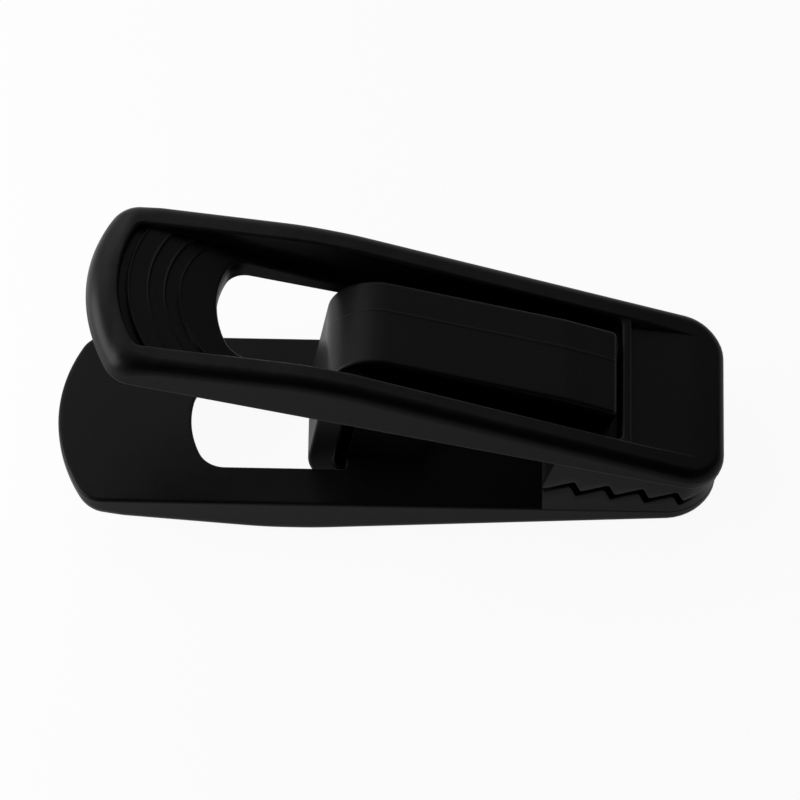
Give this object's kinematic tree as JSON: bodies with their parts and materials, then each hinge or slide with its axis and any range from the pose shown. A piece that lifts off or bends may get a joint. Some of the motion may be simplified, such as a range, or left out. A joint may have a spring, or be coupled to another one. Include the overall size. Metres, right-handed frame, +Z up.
{
  "type": "pinch clip",
  "caption": "Black moulded-plastic pinch clip for slim garment hangers: toothed jaws, recessed thumb arms and a U-shaped plastic spring that holds the jaws shut.",
  "frame": {"origin": "on the table under the middle of the clip's box, with the clip lying on its lower arm as pictured", "axes": "+X from the handles to the jaws, +Y across the clip, +Z up"},
  "size_m": [0.0648, 0.0198, 0.0287],
  "materials": {
    "arm_plastic": "near-black, finely grained, semi-matt moulded surface",
    "spring_plastic": "near-black, finely grained, semi-matt moulded surface"
  },
  "bodies": {
    "lower": {"lower_arm": "arm_plastic", "u_spring": "spring_plastic"},
    "upper": {"upper_arm": "arm_plastic"}
  },
  "joints": [
    {"name": "jaw_hinge", "type": "hinge", "parent": "lower", "child": "upper", "pos_m": [0.00043, 0, 0.01039], "axis": [0, -1, 0], "range_deg": [0, 18], "stiffness_Nm_per_rad": 0.65, "springref_deg": -17.19, "deforming": ["u_spring"]}
  ]
}
